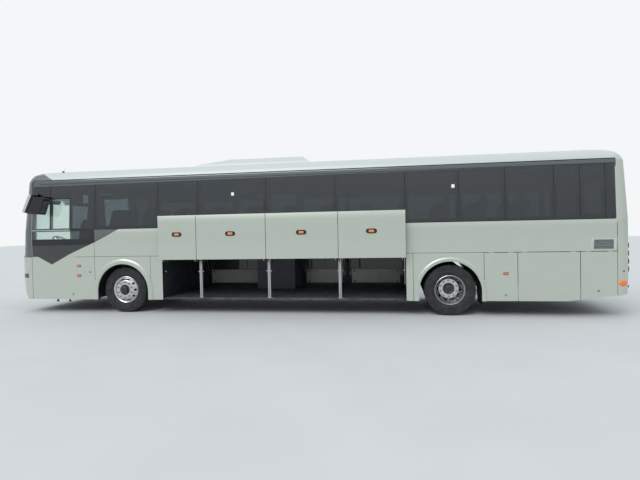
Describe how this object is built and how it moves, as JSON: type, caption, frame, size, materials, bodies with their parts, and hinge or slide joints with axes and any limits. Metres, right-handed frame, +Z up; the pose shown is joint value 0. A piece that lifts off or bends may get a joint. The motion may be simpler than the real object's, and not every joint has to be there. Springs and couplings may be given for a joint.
{
  "type": "coach bus",
  "caption": "Full-size two-axle touring coach with open luggage hatches on parallel arms, hollow cabin with seats, entrance doors, engine lid and steered front wheels.",
  "frame": {"origin": "on the ground at mid length on the centre plane", "axes": "+X towards the rear, +Y towards the vehicle's right (entrance) side, +Z up"},
  "size_m": [12.96, 3.136, 3.391],
  "materials": {
    "body_paint": "light grey-green metallic, gloss",
    "roof_paint": "near-white metallic, gloss",
    "dark_paint": "dark grey gloss",
    "tinted_glass": "dark tinted",
    "frame_paint": "black chassis paint",
    "hold_lining": "dull",
    "floor_covering": "matte",
    "seat_fabric": "woven",
    "lamp_clear": "clear",
    "lamp_red": "gloss",
    "lamp_amber": "gloss",
    "black_plastic": "grained",
    "engine_metal": "cast",
    "axle_metal": "painted casting",
    "tyre_rubber": "black rubber with bright metal rims"
  },
  "bodies": {
    "root": {"chassis": "frame_paint", "luggage_hold": "hold_lining", "cabin_floor": "floor_covering", "side_wall_left": "body_paint", "side_wall_right": "body_paint", "side_glass_left": "tinted_glass", "side_glass_right": "tinted_glass", "skirt_left": "body_paint", "skirt_right": "body_paint", "seats_left": "seat_fabric", "seats_right": "seat_fabric", "roof": "roof_paint", "roof_unit": "roof_paint", "arch_liners": "black_plastic", "parcel_racks": "floor_covering", "front_mask": "body_paint", "windscreen_frame": "dark_paint", "windscreen": "tinted_glass", "rear_panel": "body_paint", "rear_glass": "tinted_glass", "arch_trims": "body_paint", "headlamps": "lamp_clear", "tail_lamps": "lamp_red", "side_lamps": "lamp_amber", "mirrors": "black_plastic", "wipers": "black_plastic", "driver_station": "black_plastic", "engine": "engine_metal", "front_axle": "axle_metal", "rear_axle": "axle_metal"},
    "knuckle_left": {"knuckle_left": "axle_metal"},
    "wheel_front_left": {"wheel_front_left": "tyre_rubber"},
    "knuckle_right": {"knuckle_right": "axle_metal"},
    "wheel_front_right": {"wheel_front_right": "tyre_rubber"},
    "tie_rod": {"tie_rod": "axle_metal"},
    "wheel_rear_left": {"wheel_rear_left": "tyre_rubber"},
    "wheel_rear_right": {"wheel_rear_right": "tyre_rubber"},
    "hatch_arms_left_1": {"hatch_arms_left_1": "frame_paint"},
    "hatch_left_1": {"hatch_left_1": "body_paint"},
    "hatch_arms_left_2": {"hatch_arms_left_2": "frame_paint"},
    "hatch_left_2": {"hatch_left_2": "body_paint"},
    "hatch_arms_left_3": {"hatch_arms_left_3": "frame_paint"},
    "hatch_left_3": {"hatch_left_3": "body_paint"},
    "hatch_arms_left_4": {"hatch_arms_left_4": "frame_paint"},
    "hatch_left_4": {"hatch_left_4": "body_paint"},
    "hatch_arms_right_1": {"hatch_arms_right_1": "frame_paint"},
    "hatch_right_1": {"hatch_right_1": "body_paint"},
    "hatch_arms_right_2": {"hatch_arms_right_2": "frame_paint"},
    "hatch_right_2": {"hatch_right_2": "body_paint"},
    "hatch_arms_right_3": {"hatch_arms_right_3": "frame_paint"},
    "hatch_right_3": {"hatch_right_3": "body_paint"},
    "front_door_post": {"front_door_post": "frame_paint"},
    "front_door": {"front_door": "body_paint"},
    "middle_door": {"middle_door": "body_paint"},
    "engine_lid": {"engine_lid": "body_paint"},
    "flap_left_1": {"flap_left_1": "body_paint"},
    "flap_left_2": {"flap_left_2": "body_paint"},
    "flap_left_3": {"flap_left_3": "body_paint"},
    "flap_right_1": {"flap_right_1": "body_paint"},
    "flap_right_2": {"flap_right_2": "body_paint"}
  },
  "joints": [
    {"name": "steer_left", "type": "hinge", "parent": "root", "child": "knuckle_left", "pos_m": [-3.82, -0.86, 0.505], "axis": [0, 0, 1], "range_deg": [-40, 40]},
    {"name": "roll_front_left", "type": "hinge", "parent": "knuckle_left", "child": "wheel_front_left", "pos_m": [-3.82, -1.04, 0.505], "axis": [0, 1, 0], "continuous": true},
    {"name": "steer_right", "type": "hinge", "parent": "root", "child": "knuckle_right", "pos_m": [-3.82, 0.86, 0.505], "axis": [0, 0, 1], "range_deg": [-40, 40]},
    {"name": "roll_front_right", "type": "hinge", "parent": "knuckle_right", "child": "wheel_front_right", "pos_m": [-3.82, 1.04, 0.505], "axis": [0, 1, 0], "continuous": true},
    {"name": "tie_rod_pivot", "type": "hinge", "parent": "knuckle_left", "child": "tie_rod", "pos_m": [-3.64, -0.86, 0.378], "axis": [0, 0, 1], "range_deg": [-40, 40]},
    {"name": "roll_rear_left", "type": "hinge", "parent": "root", "child": "wheel_rear_left", "pos_m": [3.18, -0.9225, 0.505], "axis": [0, 1, 0], "continuous": true},
    {"name": "roll_rear_right", "type": "hinge", "parent": "root", "child": "wheel_rear_right", "pos_m": [3.18, 0.9225, 0.505], "axis": [0, 1, 0], "continuous": true},
    {"name": "hatch_lift_left_1", "type": "hinge", "parent": "root", "child": "hatch_arms_left_1", "pos_m": [-2.4495, -1.163, 1.13], "axis": [-1, 0, 0], "range_deg": [-148.5, 0]},
    {"name": "hatch_level_left_1", "type": "hinge", "parent": "hatch_arms_left_1", "child": "hatch_left_1", "pos_m": [-2.4495, -1.36825, 1.54167], "axis": [-1, 0, 0], "range_deg": [0, 148.5]},
    {"name": "hatch_lift_left_2", "type": "hinge", "parent": "root", "child": "hatch_arms_left_2", "pos_m": [-1.262, -1.163, 1.13], "axis": [-1, 0, 0], "range_deg": [-148.5, 0]},
    {"name": "hatch_level_left_2", "type": "hinge", "parent": "hatch_arms_left_2", "child": "hatch_left_2", "pos_m": [-1.262, -1.36825, 1.54167], "axis": [-1, 0, 0], "range_deg": [0, 148.5]},
    {"name": "hatch_lift_left_3", "type": "hinge", "parent": "root", "child": "hatch_arms_left_3", "pos_m": [0.245, -1.163, 1.13], "axis": [-1, 0, 0], "range_deg": [-148.5, 0]},
    {"name": "hatch_level_left_3", "type": "hinge", "parent": "hatch_arms_left_3", "child": "hatch_left_3", "pos_m": [0.245, -1.36825, 1.54167], "axis": [-1, 0, 0], "range_deg": [0, 148.5]},
    {"name": "hatch_lift_left_4", "type": "hinge", "parent": "root", "child": "hatch_arms_left_4", "pos_m": [1.6645, -1.163, 1.13], "axis": [-1, 0, 0], "range_deg": [-148.5, 0]},
    {"name": "hatch_level_left_4", "type": "hinge", "parent": "hatch_arms_left_4", "child": "hatch_left_4", "pos_m": [1.6645, -1.36825, 1.54167], "axis": [-1, 0, 0], "range_deg": [0, 148.5]},
    {"name": "hatch_lift_right_1", "type": "hinge", "parent": "root", "child": "hatch_arms_right_1", "pos_m": [-2.0475, 1.163, 1.13], "axis": [1, 0, 0], "range_deg": [0, 148.5]},
    {"name": "hatch_level_right_1", "type": "hinge", "parent": "hatch_arms_right_1", "child": "hatch_right_1", "pos_m": [-2.0475, 1.20309, 0.67175], "axis": [1, 0, 0], "range_deg": [-148.5, 0]},
    {"name": "hatch_lift_right_2", "type": "hinge", "parent": "root", "child": "hatch_arms_right_2", "pos_m": [0.29, 1.163, 1.13], "axis": [1, 0, 0], "range_deg": [0, 148.5]},
    {"name": "hatch_level_right_2", "type": "hinge", "parent": "hatch_arms_right_2", "child": "hatch_right_2", "pos_m": [0.29, 1.20309, 0.67175], "axis": [1, 0, 0], "range_deg": [-148.5, 0]},
    {"name": "hatch_lift_right_3", "type": "hinge", "parent": "root", "child": "hatch_arms_right_3", "pos_m": [1.607, 1.163, 1.13], "axis": [1, 0, 0], "range_deg": [0, 148.5]},
    {"name": "hatch_level_right_3", "type": "hinge", "parent": "hatch_arms_right_3", "child": "hatch_right_3", "pos_m": [1.607, 1.20309, 0.67175], "axis": [1, 0, 0], "range_deg": [-148.5, 0]},
    {"name": "front_door_swing", "type": "hinge", "parent": "root", "child": "front_door_post", "pos_m": [-5.07, 1.11, 1.3], "axis": [0, 0, -1], "range_deg": [0, 145.9]},
    {"name": "front_door_level", "type": "hinge", "parent": "front_door_post", "child": "front_door", "pos_m": [-5.49914, 1.15965, 1.3], "axis": [0, 0, -1], "range_deg": [-145.9, 0]},
    {"name": "middle_door_swing", "type": "hinge", "parent": "root", "child": "middle_door", "pos_m": [-1.184, 1.27, 1.5], "axis": [0, 0, 1], "range_deg": [0, 90]},
    {"name": "engine_lid_lift", "type": "hinge", "parent": "root", "child": "engine_lid", "pos_m": [6.4755, 0, 1.705], "axis": [0, -1, 0], "range_deg": [0, 80]},
    {"name": "flap_lift_left_1", "type": "hinge", "parent": "root", "child": "flap_left_1", "pos_m": [4.136, -1.2705, 1.246], "axis": [-1, 0, 0], "range_deg": [0, 85]},
    {"name": "flap_lift_left_2", "type": "hinge", "parent": "root", "child": "flap_left_2", "pos_m": [5.0075, -1.2705, 1.246], "axis": [-1, 0, 0], "range_deg": [0, 85]},
    {"name": "flap_lift_left_3", "type": "hinge", "parent": "root", "child": "flap_left_3", "pos_m": [5.8915, -1.2705, 1.246], "axis": [-1, 0, 0], "range_deg": [0, 85]},
    {"name": "flap_lift_right_1", "type": "hinge", "parent": "root", "child": "flap_right_1", "pos_m": [5.0075, 1.2705, 1.246], "axis": [1, 0, 0], "range_deg": [0, 85]},
    {"name": "flap_lift_right_2", "type": "hinge", "parent": "root", "child": "flap_right_2", "pos_m": [5.8915, 1.2705, 1.246], "axis": [1, 0, 0], "range_deg": [0, 85]}
  ],
  "couplings": [
    {"joint": "steer_right", "follows": "steer_left", "ratio": 1},
    {"joint": "tie_rod_pivot", "follows": "steer_left", "ratio": -1},
    {"joint": "hatch_level_left_1", "follows": "hatch_lift_left_1", "ratio": -1},
    {"joint": "hatch_level_left_2", "follows": "hatch_lift_left_2", "ratio": -1},
    {"joint": "hatch_level_left_3", "follows": "hatch_lift_left_3", "ratio": -1},
    {"joint": "hatch_level_left_4", "follows": "hatch_lift_left_4", "ratio": -1},
    {"joint": "hatch_level_right_1", "follows": "hatch_lift_right_1", "ratio": -1},
    {"joint": "hatch_level_right_2", "follows": "hatch_lift_right_2", "ratio": -1},
    {"joint": "hatch_level_right_3", "follows": "hatch_lift_right_3", "ratio": -1},
    {"joint": "front_door_level", "follows": "front_door_swing", "ratio": -1}
  ]
}
